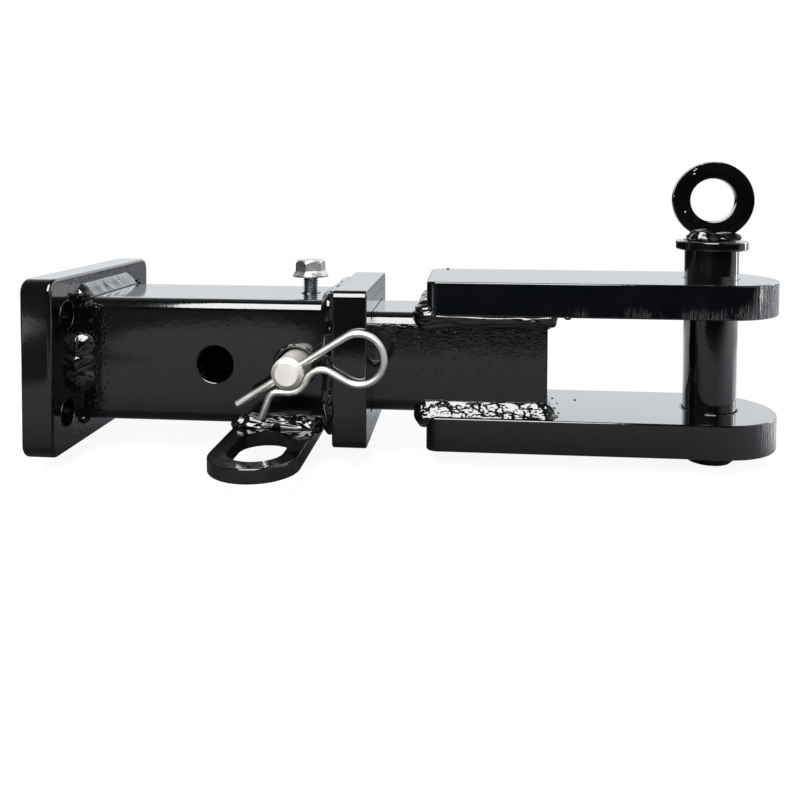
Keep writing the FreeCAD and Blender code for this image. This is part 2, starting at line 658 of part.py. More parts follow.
def anti_rattle_bolt():
    """A flanged hexagon bolt with a bevelled crown, its flange's underside at the local origin."""
    hexagon = solid("Prism", "bolt_hexagon", Circumradius="Sizes.bolt_hex_width / sqrt(3)",
                    Height="Sizes.bolt_head_height")
    hexagon.Polygon = 6
    crown = solid("Cone", "bolt_crown", Height="Sizes.bolt_head_height", Radius2="Sizes.bolt_hex_width / 2",
                  Radius1="Sizes.bolt_hex_width / 2 + Sizes.bolt_head_height / tan(Sizes.bolt_crown_angle * 1 deg)")
    head = boolean("Common", "bolt_head", hexagon, crown)
    rim = solid("Cylinder", "bolt_flange_rim", Radius="Sizes.bolt_flange_diameter / 2",
                Height="Sizes.bolt_flange_rim")
    skirt = solid("Cone", "bolt_flange_skirt", Radius1="Sizes.bolt_flange_diameter / 2",
                  Radius2="Sizes.bolt_hex_width / 2", Height="Sizes.bolt_flange_height - Sizes.bolt_flange_rim")
    locate(skirt, z="Sizes.bolt_flange_rim")
    length = "(%s + Sizes.bolt_standoff - %s - Sizes.bolt_tip_gap)" % (TUBE_HALF, SHANK_HALF)
    thread = solid("Cylinder", "bolt_thread", Radius="Sizes.bolt_thread_diameter / 2",
                   Height="%s - Sizes.bolt_thread_chamfer" % length)
    locate(thread, z="Sizes.bolt_thread_chamfer - %s" % length)
    point = solid("Cone", "bolt_point", Radius1="Sizes.bolt_thread_diameter / 2 - Sizes.bolt_thread_chamfer",
                  Radius2="Sizes.bolt_thread_diameter / 2", Height="Sizes.bolt_thread_chamfer")
    locate(point, z="-%s" % length)
    bolt = joined("anti_rattle_bolt", [head, rim, skirt, thread, point])
    bolt.Placement.Rotation = FreeCAD.Rotation(Z_AXIS, number("Sizes.bolt_turn"))
    locate(bolt, x=BOLT_X, z="%s + Sizes.bolt_standoff" % TUBE_HALF)
    return bolt


def weld_drop(name, radius, x, y, z):
    """One round drop of weld."""
    drop = solid("Sphere", name, Radius=radius)
    locate(drop, x, y, z)
    return drop


def weld_run(name, axis, length, radius, x, y, z):
    """A round bead along X or Y with round ends, from the given start."""
    body = new_body(name)
    section = new_sketch(body, name + "_section", "XY_Plane")
    r = number(radius)
    far = number(length)
    middle = line(section, (-r, 0), (far + r, 0))
    end = arc(section, (far, 0), r, 0, 90)
    crest = line(section, (far, r), (0, r))
    start = arc(section, (0, 0), r, 90, 180)
    join(section, (end, 2, crest, 1), (crest, 2, start, 1))
    section.addConstraint(Sketcher.Constraint("Coincident", middle, 2, end, 1))
    section.addConstraint(Sketcher.Constraint("Coincident", start, 2, middle, 1))
    section.addConstraint(Sketcher.Constraint("Horizontal", crest))
    section.addConstraint(Sketcher.Constraint("PointOnObject", middle, 1, -1))
    fix_point(section, start, 3)
    fix_point(section, end, 3, x=length)
    tie(section, "Radius", start, to=radius)
    bead = body.newObject("PartDesign::Revolution", name + "_bead")
    bead.Profile = section
    bead.ReferenceAxis = (section, ["H_Axis"])
    body.Placement.Rotation = FreeCAD.Rotation(X_AXIS, Y_AXIS if axis == "Y" else X_AXIS)
    locate(body, x, y, z)
    doc.recompute()
    return body


def welds(label, beads, pieces):
    """Beads laid along seams, with the pieces that they join taken out of them."""
    return boolean("Cut", label, joined(label + "_beads", beads), joined(label + "_pieces", pieces))


def plate_welds(plate, tube_bar):
    """A full bead above the tube, a small one below it, and a short row of drops on each side."""
    x = "Sizes.plate_thickness"
    length = "(%s - 2 * Sizes.tube_corner_radius)" % TUBE_WIDTH
    beads = []
    for side, radius, z in (("top", "Sizes.plate_weld_radius", TUBE_HALF),
                            ("bottom", "Sizes.bottom_weld_radius", "-" + TUBE_HALF)):
        beads.append(weld_run("plate_weld_" + side, "Y", length, radius, x, "-%s / 2" % length, z))
    for side, sign in (("near", "-"), ("far", "")):
        for step in (-1, 0, 1):
            beads.append(weld_drop("plate_weld_%s_%d" % (side, step + 1), "Sizes.side_weld_radius", x,
                                   sign + TUBE_HALF, "%d * Sizes.side_weld_pitch" % step))
    return welds("plate_welds", beads, [plate, tube_bar])


def collar_weld():
    """A rounded bead all the way round the tube, against the collar's back face."""
    body = new_body("collar_weld")
    outline = new_sketch(body, "collar_weld_outline", "YZ_Plane")
    width = TUBE_WIDTH + " + 2 * Sizes.collar_weld_height"
    rounded_rectangle(outline, width, width, "Sizes.tube_corner_radius + Sizes.collar_weld_height")
    block = pad(body, outline, "collar_weld_block", "Sizes.collar_weld_length")
    round_edges(body, block, "collar_weld_face", "Sizes.collar_weld_round", flat_in("X", 0))
    opening = new_sketch(body, "collar_weld_opening", "YZ_Plane")
    rounded_rectangle(opening, TUBE_WIDTH, TUBE_WIDTH, "Sizes.tube_corner_radius")
    cut_through(body, opening, "collar_weld_cut")
    locate(body, x="%s - Sizes.collar_weld_length" % COLLAR_X)
    return body


def chain_plate_welds(strip, tube_bar):
    """A bead in the groove between the tube's rounded edge and the chain plate, on each side."""
    length = "(Sizes.chain_plate_width + 2 * Sizes.chain_weld_overrun - 2 * Sizes.chain_weld_radius)"
    beads = []
    for side, sign in (("near", "-"), ("far", "")):
        beads.append(weld_run("chain_weld_" + side, "X", length, "Sizes.chain_weld_radius",
                                  "%s - %s / 2" % (CHAIN_X, length), sign + TUBE_HALF, "-" + TUBE_HALF))
    return welds("chain_plate_welds", beads, [strip, tube_bar])


def clevis_welds(label, plate, shank_bar, sign):
    """Beads round the seam between the shank and one clevis plate."""
    z = sign + SHANK_HALF
    length = "(Sizes.shank_reach - Sizes.clevis_start - Sizes.clevis_weld_inset)"
    across = "(Sizes.shank_width - 2 * Sizes.shank_corner_radius)"
    beads = []
    for side, y in (("near", "-" + SHANK_HALF), ("far", SHANK_HALF)):
        beads.append(weld_run("%s_%s" % (label, side), "X", length, "Sizes.clevis_weld_radius",
                                  CLEVIS_BACK, y, z))
    for end, x in (("back", CLEVIS_BACK), ("front", SHANK_FRONT)):
        beads.append(weld_run("%s_%s" % (label, end), "Y", across, "Sizes.clevis_%s_weld_radius" % end, x,
                                  "-%s / 2" % across, z))
    return welds(label, beads, [plate, shank_bar])


def ring_weld(ring, flange, rod):
    """A mound of weld at the pull ring's foot, on both faces of the ring."""
    beads = []
    for side, sign in (("near", "-"), ("far", "")):
        beads.append(weld_run("ring_weld_" + side, "X", "Sizes.ring_weld_length", "Sizes.ring_weld_radius",
                                  CLEVIS_PIN_X + " - Sizes.ring_weld_length / 2",
                                  sign + "Sizes.ring_thickness / 2", FLANGE_TOP + " + Sizes.ring_weld_rise"))
    return welds("ring_weld", beads, [ring, flange, rod])


def build():
    """All the pieces that are separate on the real object."""
    plate = mounting_plate()
    strip = chain_plate()
    upper = clevis_plate("upper_clevis_plate", SHANK_HALF)
    lower = clevis_plate("lower_clevis_plate", "-" + CLEVIS_TOP)
    rod = clevis_pin()
    flange = pin_flange()
    ring = pull_ring()
    # Solid bars of the tube's and the shank's outer form, which shape the welds against them.
    tube_bar = square_bar("tube_bar", TUBE_WIDTH, "Sizes.tube_corner_radius", "Sizes.plate_thickness", MOUTH_X)
    shank_bar = square_bar("shank_bar", "Sizes.shank_width", "Sizes.shank_corner_radius", SHANK_BACK, SHANK_FRONT)
    return [
        plate,
        receiver_tube(),
        mouth_collar(),
        strip,
        plate_welds(plate, tube_bar),
        collar_weld(),
        chain_plate_welds(strip, tube_bar),
        anti_rattle_bolt(),
        hitch_pin(),
        r_clip(),
        shank(),
        upper,
        lower,
        clevis_welds("upper_clevis_welds", upper, shank_bar, ""),
        clevis_welds("lower_clevis_welds", lower, shank_bar, "-"),
        rod,
        flange,
        ring,
        ring_weld(ring, flange, rod),
    ]


nodes = build()
doc.recompute()
for thing in doc.Objects:
    if "Invalid" in thing.State or "Error" in thing.State:
        raise RuntimeError("%s failed: %s" % (thing.Name, thing.State))
for node in nodes:
    if node.Shape.isNull() or not node.Shape.isValid() or not node.Shape.Solids:
        raise RuntimeError("%s has no valid solid" % node.Label)
os.makedirs("parts", exist_ok=True)
for node in nodes:
    node.Shape.exportStep("parts/%s.step" % node.Label)
    print("%-20s solids %d volume %.1f" % (node.Label, len(node.Shape.Solids), node.Shape.Volume))
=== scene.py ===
import math

import bmesh
import bpy
import numpy as np
from mathutils import Matrix, Vector, noise


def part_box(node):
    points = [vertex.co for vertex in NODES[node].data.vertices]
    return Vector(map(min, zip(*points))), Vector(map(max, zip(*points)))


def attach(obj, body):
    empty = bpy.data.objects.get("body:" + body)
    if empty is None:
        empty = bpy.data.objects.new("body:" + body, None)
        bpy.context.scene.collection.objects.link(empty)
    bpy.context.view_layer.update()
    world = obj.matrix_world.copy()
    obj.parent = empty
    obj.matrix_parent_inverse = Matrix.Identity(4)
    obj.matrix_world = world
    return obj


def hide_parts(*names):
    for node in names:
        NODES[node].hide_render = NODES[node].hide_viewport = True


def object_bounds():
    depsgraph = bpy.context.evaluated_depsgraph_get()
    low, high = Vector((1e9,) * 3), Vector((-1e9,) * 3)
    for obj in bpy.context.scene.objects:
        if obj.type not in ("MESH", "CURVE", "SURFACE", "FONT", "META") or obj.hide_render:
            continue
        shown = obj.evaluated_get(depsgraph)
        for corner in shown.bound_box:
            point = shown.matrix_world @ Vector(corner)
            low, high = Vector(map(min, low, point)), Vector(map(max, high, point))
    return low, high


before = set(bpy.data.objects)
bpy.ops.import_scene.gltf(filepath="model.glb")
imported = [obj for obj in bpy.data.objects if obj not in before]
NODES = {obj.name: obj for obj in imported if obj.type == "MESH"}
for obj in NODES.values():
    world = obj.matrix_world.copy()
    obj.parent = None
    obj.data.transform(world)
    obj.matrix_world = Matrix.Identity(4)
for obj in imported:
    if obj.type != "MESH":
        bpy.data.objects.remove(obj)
CAD_LOW, CAD_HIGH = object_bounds()
SCENE = bpy.context.scene
MM = 0.001


def box_mm(name):
    return [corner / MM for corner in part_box(name)]


def middle_mm(name):
    low, high = box_mm(name)
    return (low + high) / 2


# Places taken from the frame, in millimetres
PLATE_FACE = box_mm("mounting_plate")[1].x
TUBE_HALF = box_mm("receiver_tube")[1].y
SHANK_HALF = box_mm("shank")[1].y
UPPER_LOW, UPPER_HIGH = box_mm("upper_clevis_plate")
LOWER_LOW, LOWER_HIGH = box_mm("lower_clevis_plate")
FLANGE_TOP = box_mm("pin_flange")[1].z
RING_MIDDLE = middle_mm("pull_ring").x
BOLT_MIDDLE = middle_mm("anti_rattle_bolt")
PIN_MIDDLE = middle_mm("clevis_pin")


class Graph:
    """Short ways to add and link the nodes of one material or world."""

    def __init__(self, tree):
        self.tree = tree
        tree.nodes.clear()

    def add(self, kind, inputs=None, **settings):
        node = self.tree.nodes.new(kind)
        for key, value in settings.items():
            setattr(node, key, value)
        for key, value in (inputs or {}).items():
            self.put(node.inputs[key], value)
        return node

    def put(self, socket, value):
        if isinstance(value, bpy.types.NodeSocket):
            self.tree.links.new(value, socket)
        else:
            socket.default_value = value

    def math(self, operation, first, second=0.0):
        node = self.add("ShaderNodeMath", operation=operation)
        self.put(node.inputs[0], first)
        self.put(node.inputs[1], second)
        return node.outputs[0]

    def times(self, first, *others):
        for other in others:
            first = self.math("MULTIPLY", first, other)
        return first

    def highest(self, first, *others):
        for other in others:
            first = self.math("MAXIMUM", first, other)
        return first

    def ramp(self, value, low, high, start=0.0, end=1.0):
        node = self.add("ShaderNodeMapRange", {"Value": value, "From Min": low, "From Max": high,
                                               "To Min": start, "To Max": end})
        node.interpolation_type = "SMOOTHSTEP"
        return node.outputs["Result"]

    def noise(self, place, scale, detail=2.0, roughness=0.5, distortion=0.0):
        node = self.add("ShaderNodeTexNoise", {"Vector": place, "Scale": scale, "Detail": detail,
                                               "Roughness": roughness, "Distortion": distortion})
        return node.outputs["Fac"]

    def stretched(self, place, sizes):
        node = self.add("ShaderNodeMapping", {"Vector": place, "Scale": sizes})
        return node.outputs["Vector"]

    def axes(self, place):
        split = self.add("ShaderNodeSeparateXYZ", {"Vector": place})
        return [split.outputs[axis] for axis in "XYZ"]

    def distance(self, place, spot):
        node = self.add("ShaderNodeVectorMath", {0: place, 1: spot}, operation="DISTANCE")
        return node.outputs["Value"]

    def cells(self, place, sizes):
        """Distance from the middle of each cell, and a random number per cell."""
        node = self.add("ShaderNodeTexVoronoi", {"Vector": self.stretched(place, sizes), "Scale": 1.0},
                        feature="F1")
        pick = self.add("ShaderNodeSeparateColor", {"Color": node.outputs["Color"]})
        return node.outputs["Distance"], pick.outputs["Red"]

    def mix(self, share, first, second):
        node = self.add("ShaderNodeMix", data_type="RGBA")
        self.put(node.inputs["Factor"], share)
        self.put(node.inputs["A"], first)
        self.put(node.inputs["B"], second)
        return node.outputs["Result"]

    def blend(self, share, first, second):
        """One shader fading into another."""
        return self.add("ShaderNodeMixShader", {"Fac": share, 1: first, 2: second}).outputs[0]

    def bump(self, height, distance, normal=None):
        node = self.add("ShaderNodeBump", {"Height": height, "Distance": distance, "Strength": 1.0})
        if normal is not None:
            self.put(node.inputs["Normal"], normal)
        return node.outputs["Normal"]


PAINT_DARK, PAINT_PALE = (0.0008, 0.0011, 0.0014, 1), (0.0018, 0.0021, 0.0025, 1)
PAINT_ROUGHNESS, PAINT_WEAR = 0.07, 0.05
STEEL_WEAR = 0.12


def new_material(name):
    material = bpy.data.materials.new(name)
    material.use_nodes = True
    graph = Graph(material.node_tree)
    place = graph.add("ShaderNodeTexCoord").outputs["Object"]
    shader = graph.add("ShaderNodeBsdfPrincipled")
    graph.add("ShaderNodeOutputMaterial", {"Surface": shader.outputs["BSDF"]})
    return material, graph, place, shader


def black_paint(name, reliefs=(), peel=0.012, wave=0.04):
    """Thick gloss black paint under a clear coat. Heights are in millimetres.

    Each relief is a function that gives a height over the surface, and the depth that goes with it.
    """
    material, graph, place, shader = new_material(name)
    cloud = graph.noise(place, 60.0, 3.0)
    orange_peel = graph.noise(place, 950.0, 2.0)
    slow_wave = graph.noise(place, 110.0, 2.0)
    graph.put(shader.inputs["Base Color"], graph.mix(graph.ramp(cloud, 0.35, 0.7), PAINT_DARK, PAINT_PALE))
    graph.put(shader.inputs["Roughness"], graph.math("ADD", graph.times(cloud, PAINT_WEAR), PAINT_ROUGHNESS))
    shader.inputs["IOR"].default_value = 1.5
    shader.inputs["Coat Weight"].default_value = 1.0
    shader.inputs["Coat Roughness"].default_value = 0.035
    normal = graph.bump(orange_peel, peel * MM)
    normal = graph.bump(slow_wave, wave * MM, normal)
    for relief, depth in reliefs:
        normal = graph.bump(relief(graph, place), depth * MM, normal)
    graph.put(shader.inputs["Normal"], normal)
    graph.put(shader.inputs["Coat Normal"], normal)
    return material


def mill_ripples(graph, place):
    """The shank's sides: ripples close together near the top, and small scattered dents below."""
    _, y, z = graph.axes(place)
    side_face = graph.ramp(graph.math("ABSOLUTE", y), (SHANK_HALF - 0.2) * MM, (SHANK_HALF - 0.04) * MM)
    ragged_z = graph.math("ADD", z, graph.times(graph.noise(place, 45.0), 12 * MM))
    waves = graph.noise(graph.stretched(place, (330.0, 330.0, 950.0)), 1.0, 3.0, 0.55, 0.4)
    ripples = graph.times(graph.ramp(waves, 0.36, 0.6), graph.ramp(ragged_z, 8 * MM, 17 * MM))
    away, pick = graph.cells(place, (330.0, 330.0, 900.0))
    belts = graph.ramp(graph.noise(graph.stretched(place, (40.0, 40.0, 190.0)), 1.0), 0.46, 0.56)
    chosen = graph.times(graph.math("GREATER_THAN", pick, 0.62), belts)
    dents = graph.times(graph.ramp(away, 0.34, 0.14), chosen)
    return graph.times(graph.math("SUBTRACT", ripples, graph.times(dents, 0.85)), side_face)


def cut_lines(low, high, from_x, fade=40.0):
    """Torch-cut lines across a plate's edge, strongest towards one face and round the end."""
    def relief(graph, place):
        x, _, z = graph.axes(place)
        lines = graph.noise(graph.stretched(place, (900.0, 900.0, 55.0)), 1.0, 3.0, 0.6)
        patches = graph.ramp(graph.noise(graph.stretched(place, (90.0, 90.0, 60.0)), 1.0, 3.0), 0.4, 0.6)
        band = graph.times(graph.ramp(z, high * MM, low * MM),
                           graph.ramp(x, from_x * MM, (from_x + fade) * MM))
        round_end = graph.ramp(x, (UPPER_HIGH.x - 22.4) * MM, (UPPER_HIGH.x - 8.4) * MM, 0.0, 1.3)
        strength = graph.highest(graph.times(band, patches), round_end)
        facing = graph.axes(graph.add("ShaderNodeNewGeometry").outputs["True Normal"])
        edge_only = graph.ramp(graph.math("ABSOLUTE", facing[2]), 0.5, 0.2)
        return graph.times(graph.ramp(lines, 0.35, 0.7, -0.5, 0.5), graph.times(strength, edge_only))
    return relief


def weld_spatter(graph, place):
    """Small dents and beads on the tube's sides, close to the mounting plate."""
    x, y, _ = graph.axes(place)
    side_face = graph.ramp(graph.math("ABSOLUTE", y), (TUBE_HALF - 0.25) * MM, (TUBE_HALF - 0.05) * MM)
    ragged_x = graph.math("ADD", x, graph.times(graph.noise(place, 120.0), 14 * MM))
    near = graph.ramp(ragged_x, (PLATE_FACE + 27) * MM, (PLATE_FACE + 19) * MM)
    away, pick = graph.cells(place, (620.0, 620.0, 420.0))
    dents = graph.times(graph.ramp(away, 0.5, 0.15), graph.math("GREATER_THAN", pick, 0.45))
    return graph.times(dents, graph.times(near, side_face))


def plate_spatter(graph, place):
    """Spatter on the mounting plate's front face, beside the tube."""
    x, y, _ = graph.axes(place)
    front_face = graph.ramp(x, (PLATE_FACE - 0.4) * MM, (PLATE_FACE - 0.1) * MM)
    near = graph.ramp(graph.math("ABSOLUTE", y), (TUBE_HALF + 18.25) * MM, (TUBE_HALF + 6.25) * MM)
    away, pick = graph.cells(place, (430.0, 430.0, 430.0))
    lumps = graph.times(graph.ramp(away, 0.55, 0.1), graph.math("GREATER_THAN", pick, 0.3))
    return graph.times(lumps, graph.times(near, front_face))


def ring_specks(graph, place):
    """Sparse specks in the paint of the pull ring's left half."""
    x, _, _ = graph.axes(place)
    left_half = graph.ramp(graph.math("SUBTRACT", x, RING_MIDDLE * MM), -4 * MM, -10 * MM)
    away, pick = graph.cells(place, (380.0, 380.0, 380.0))
    chosen = graph.times(graph.ramp(pick, 0.35, 0.6), left_half)
    return graph.times(graph.ramp(away, 0.42, 0.05), chosen)


def steel(name, pale, dark, roughness, grain, grain_height):
    """Bare or plated steel with a directed grain. The grain is three scales per metre."""
    material, graph, place, shader = new_material(name)
    lines = graph.noise(graph.stretched(place, grain), 1.0, 3.0, 0.6)
    cloud = graph.noise(place, 160.0, 3.0, 0.6)
    pores = graph.noise(place, 700.0, 2.0)
    shader.inputs["Metallic"].default_value = 1.0
    graph.put(shader.inputs["Base Color"], graph.mix(graph.ramp(cloud, 0.3, 0.75), dark, pale))
    wear = graph.times(graph.math("ADD", lines, cloud), STEEL_WEAR)
    graph.put(shader.inputs["Roughness"], graph.math("ADD", wear, roughness - STEEL_WEAR))
    normal = graph.bump(lines, grain_height * MM)
    graph.put(shader.inputs["Normal"], graph.bump(pores, grain_height / 2 * MM, normal))
    return material


UPPER_CUTS = cut_lines(UPPER_LOW.z, UPPER_LOW.z + 10.6, from_x=245.0)
LOWER_CUTS = cut_lines(LOWER_LOW.z, LOWER_LOW.z + 1.4, from_x=300.0)
MATERIALS = {
    "paint": black_paint("gloss_black_paint"),
    "plate": black_paint("gloss_black_plate_paint", [(plate_spatter, 0.1)]),
    "tube": black_paint("gloss_black_paint_spattered", [(weld_spatter, 0.08)]),
    "shank": black_paint("gloss_black_paint_rippled", [(mill_ripples, 0.045)]),
    "upper_plate": black_paint("gloss_black_paint_cut_upper", [(UPPER_CUTS, 0.4)]),
    "lower_plate": black_paint("gloss_black_paint_cut_lower", [(LOWER_CUTS, 0.3)]),
    "weld": black_paint("painted_weld_metal", peel=0.014, wave=0.05),
    "pin": black_paint("gloss_black_pin_paint"),
    "ring": black_paint("gloss_black_ring_paint", [(ring_specks, 0.16)]),
    "pin_steel": steel("turned_bright_steel", pale=(0.9, 0.87, 0.82, 1), dark=(0.82, 0.79, 0.74, 1),
                       roughness=0.6, grain=(420.0, 420.0, 420.0), grain_height=0.01),
    "wire": steel("drawn_spring_wire", pale=(0.96, 0.93, 0.88, 1), dark=(0.88, 0.85, 0.8, 1),
                  roughness=0.38, grain=(300.0, 900.0, 300.0), grain_height=0.002),
    "zinc": steel("zinc_plated_steel", pale=(0.67, 0.67, 0.65, 1), dark=(0.56, 0.56, 0.545, 1),
                  roughness=0.36, grain=(500.0, 500.0, 700.0), grain_height=0.008),
    # The thread is coloured darker and bluer than the bolt's head.
    "thread": steel("zinc_plated_thread", pale=(0.4, 0.415, 0.45, 1), dark=(0.29, 0.3, 0.325, 1),
                    roughness=0.32, grain=(500.0, 500.0, 900.0), grain_height=0.008),
}

FINISH = {
    "mounting_plate": "plate", "receiver_tube": "tube", "mouth_collar": "paint", "chain_plate": "paint",
    "plate_welds": "weld", "collar_weld": "weld", "chain_plate_welds": "weld",
    "shank": "shank", "upper_clevis_plate": "upper_plate", "lower_clevis_plate": "lower_plate",
    "upper_clevis_welds": "weld", "lower_clevis_welds": "weld",
    "clevis_pin": "pin", "pin_flange": "pin", "pull_ring": "ring", "ring_weld": "weld",
    "hitch_pin": "pin_steel", "r_clip": "wire", "anti_rattle_bolt": "zinc",
}


def finish_with(obj, *keys):
    """Gives the object its materials. Clearing sets every face to the first, so a new mesh isn't cleared."""
    if len(obj.data.materials):
        obj.data.materials.clear()
    for key in keys:
        obj.data.materials.append(MATERIALS[key])


def new_object(name, mesh, *keys):
    obj = bpy.data.objects.new(name, mesh)
    SCENE.collection.objects.link(obj)
    finish_with(obj, *keys)
    return obj


def points_of(mesh):
    flat = np.zeros(len(mesh.vertices) * 3)
    mesh.vertices.foreach_get("co", flat)
    return flat.reshape(-1, 3)


def normals_of(mesh):
    flat = np.zeros(len(mesh.vertices) * 3)
    mesh.vertex_normals.foreach_get("vector", flat)
    return flat.reshape(-1, 3)


def shade_smooth(mesh):
    mesh.polygons.foreach_set("use_smooth", [True] * len(mesh.polygons))
    mesh.update()


def grid_faces(bm, rows):
    """Faces between rows of vertices of equal length, each row closed on itself."""
    for low, high in zip(rows, rows[1:]):
        count = len(low)
        for index in range(count):
            after = (index + 1) % count
            distinct = list(dict.fromkeys([low[index], low[after], high[after], high[index]]))
            if len(distinct) > 2:
                bm.faces.new(distinct)


def smooth_mesh(bm, name, sharp_degrees=None):
    mesh = bpy.data.meshes.new(name)
    bm.to_mesh(mesh)
    bm.free()
    shade_smooth(mesh)
    if sharp_degrees is not None:
        mesh.set_sharp_from_angle(angle=math.radians(sharp_degrees))
    return mesh


def place_piece(obj, body, slot, *nodes):
    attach(obj, body)
    if nodes:
        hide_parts(*nodes)


def shift_of(seed):
    return Vector((seed * 13.7, seed * 21.1, seed * 7.1))


def swell(place, size, seed):
    """Slow lumps, about -0.5 to 0.5."""
    return noise.noise(place / size + shift_of(seed))


def folds(place, sizes, seed):
    """Rounded rolls with creases between them, 0 to about 0.6. Sizes are the rolls' lengths by axis."""
    spot = Vector((place.x / sizes[0], place.y / sizes[1], place.z / sizes[2]))
    return abs(noise.noise(spot + shift_of(seed)))


def rolled_metal(place, seed, rolls, roll_height, lump, lump_height, sink=0.2):
    """Height of rolls laid over slow lumps. Sink is how far the creases lie under the plain bead."""
    return roll_height * (folds(place, rolls, seed) - sink) + lump_height * swell(place, lump, seed + 1)


def hump(place, centre, reach):
    """A smooth rise round one place."""
    total = sum(((here - there) / wide) ** 2 for here, there, wide in zip(place, centre, reach))
    return math.exp(-total)


# Sizes and places of the weld beads, in millimetres
BEAD_LEG = 6.6
SEAM_SLACK = 0.3
SCALE_LENGTH = 11.5
NICKS, NICK_REACH = (-14.0, -3.0, 11.0), (1.3, 1.0, 2.2)
DROP_ALONG_TUBE, DROP_ALONG_PLATE, DROP_LOWEST = 9.6, 5.0, -24.0
DROP_STRETCH, DROP_SAG = 1.14, 1.6
BACK_DROP, BACK_DROP_REACH = (193.0, -29.0, 17.0), (5.0, 9.0, 5.0)
FRONT_NIB, FRONT_NIB_REACH = (256.5, -29.0, 23.0), (2.4, 4.0, 2.2)
LOWER_RISE = 7.4
FALL_START, FALL_LENGTH, FALL_SHARE, ROLL_LEAN = -9.0, 20.0, 0.4, 0.22


def plate_scales(place, across, rise):
    """Flat overlapping scales with a few nicks, above the tube."""
    angle = math.atan2(max(rise, 0.0), max(across, 1e-6))
    flat = 1 / (math.cos(angle) + math.sin(angle))
    middle = math.sin(2 * angle)
    run = place.y / SCALE_LENGTH + 0.35 * middle + 0.25 * swell(place, 9.0, 1)
    scale = run % 1.0
    factor = 0.9 * flat + 0.1 + middle * (0.07 * scale ** 3 - 0.02 + 0.05 * swell(place, 6.0, 2))
    for nick in NICKS:
        factor -= 0.13 * hump(place, (PLATE_FACE + 3.2, nick, TUBE_HALF + 3.4), NICK_REACH)
    return Vector((PLATE_FACE + across * factor, place.y, TUBE_HALF + rise * factor))


def plate_drops(place, outward, across, aside):
    """Flattened drops hanging beside the tube."""
    angle = math.atan2(max(aside, 0.0), max(across, 1e-6))
    factor = 1 / (BEAD_LEG * (math.cos(angle) / DROP_ALONG_TUBE + math.sin(angle) / DROP_ALONG_PLATE))
    moved = Vector((PLATE_FACE + across * factor, math.copysign(TUBE_HALF + aside * factor, place.y),
                    DROP_STRETCH * place.z - DROP_SAG))
    return moved + outward * rolled_metal(place, 3, (12.0, 12.0, 6.0), 1.2, 3.5, 0.4)


def plate_bead(place, outward):
    across, rise = place.x - PLATE_FACE, place.z - TUBE_HALF
    aside = abs(place.y) - TUBE_HALF
    if rise > -SEAM_SLACK:
        return plate_scales(place, across, rise)
    if aside > -SEAM_SLACK and place.z > DROP_LOWEST:
        return plate_drops(place, outward, across, aside)
    return place + outward * 0.5 * swell(place, 6.0, 5)


def collar_bead(place, outward):
    return place + outward * rolled_metal(place, 6, (3.4, 11.0, 11.0), 1.5, 7.0, 0.9)


def chain_bead(place, outward):
    return place + outward * rolled_metal(place, 8, (11.0, 4.0, 3.6), 2.2, 6.0, 0.8)


def upper_bead(place, outward):
    """Smooth waves along the shank, with a heavy drop at the back end and a nib at the front."""
    height = rolled_metal(place, 10, (21.0, 6.0, 3.0), 1.9, 10.0, 0.8, 0.18)
    height += 3.0 * hump(place, BACK_DROP, BACK_DROP_REACH)
    height += 2.2 * hump(place, FRONT_NIB, FRONT_NIB_REACH)
    return place + outward * height


def lower_bead(place, outward):
    """A flat bead of lumps of all sizes run into each other, with pits between them."""
    aside, rise = abs(place.y) - SHANK_HALF, place.z + SHANK_HALF
    height = 0.8 * noise.fractal(place / 8.0 + shift_of(12), 0.7, 2.1, 4)
    if aside > 0 and rise > 0:
        angle = math.atan2(rise, aside)
        factor = 1 / (math.cos(angle) + math.sin(angle) * BEAD_LEG / LOWER_RISE)
        place = Vector((place.x, math.copysign(SHANK_HALF + aside * factor, place.y),
                        rise * factor - SHANK_HALF))
    return place + outward * (height + 0.4 * swell(place, 9.0, 14))


def ring_bead(place, outward):
    """Rolls of metal laid over each other, falling away to one side."""
    run = math.copysign(1.0, -place.y) * (place.x - RING_MIDDLE)
    share = min(max((run - FALL_START) / FALL_LENGTH, 0.0), 1.0)
    fall = 1 - FALL_SHARE * share * share * (3 - 2 * share)
    level = place.z - FLANGE_TOP
    lower = Vector((place.x, place.y, FLANGE_TOP + (level * fall if level > 0 else level)))
    slope = Vector((run, place.y, level + ROLL_LEAN * run))
    return lower + outward * rolled_metal(slope, 15, (15.0, 6.0, 3.0), 2.6, 7.0, 0.8, 0.18)


def even_skin(obj, voxel, soften=3):
    """One even skin of small faces over all of a piece's solids, softened a little."""
    skin = obj.modifiers.new("skin", "REMESH")
    skin.mode = "VOXEL"
    skin.voxel_size = voxel
    calm = obj.modifiers.new("calm", "SMOOTH")
    calm.factor = 0.5
    calm.iterations = soften
    bpy.context.view_layer.update()
    made = bpy.data.meshes.new_from_object(obj.evaluated_get(bpy.context.evaluated_depsgraph_get()))
    obj.modifiers.clear()
    obj.data = made


def weld_piece(node, body, shape, slot="painted_weld", voxel=0.5 * MM):
    """A hand-laid bead in the place of a plain one. The shape moves each point, in millimetres."""
    obj = new_object(node + "_beads", NODES[node].data.copy(), FINISH[node])
    even_skin(obj, voxel)
    finish_with(obj, FINISH[node])
    places, outward = points_of(obj.data) / MM, normals_of(obj.data)
    moved = [shape(Vector(place), Vector(way)) for place, way in zip(places, outward)]
    obj.data.vertices.foreach_set("co", np.array(moved).ravel() * MM)
    shade_smooth(obj.data)
    place_piece(obj, body, slot, node)


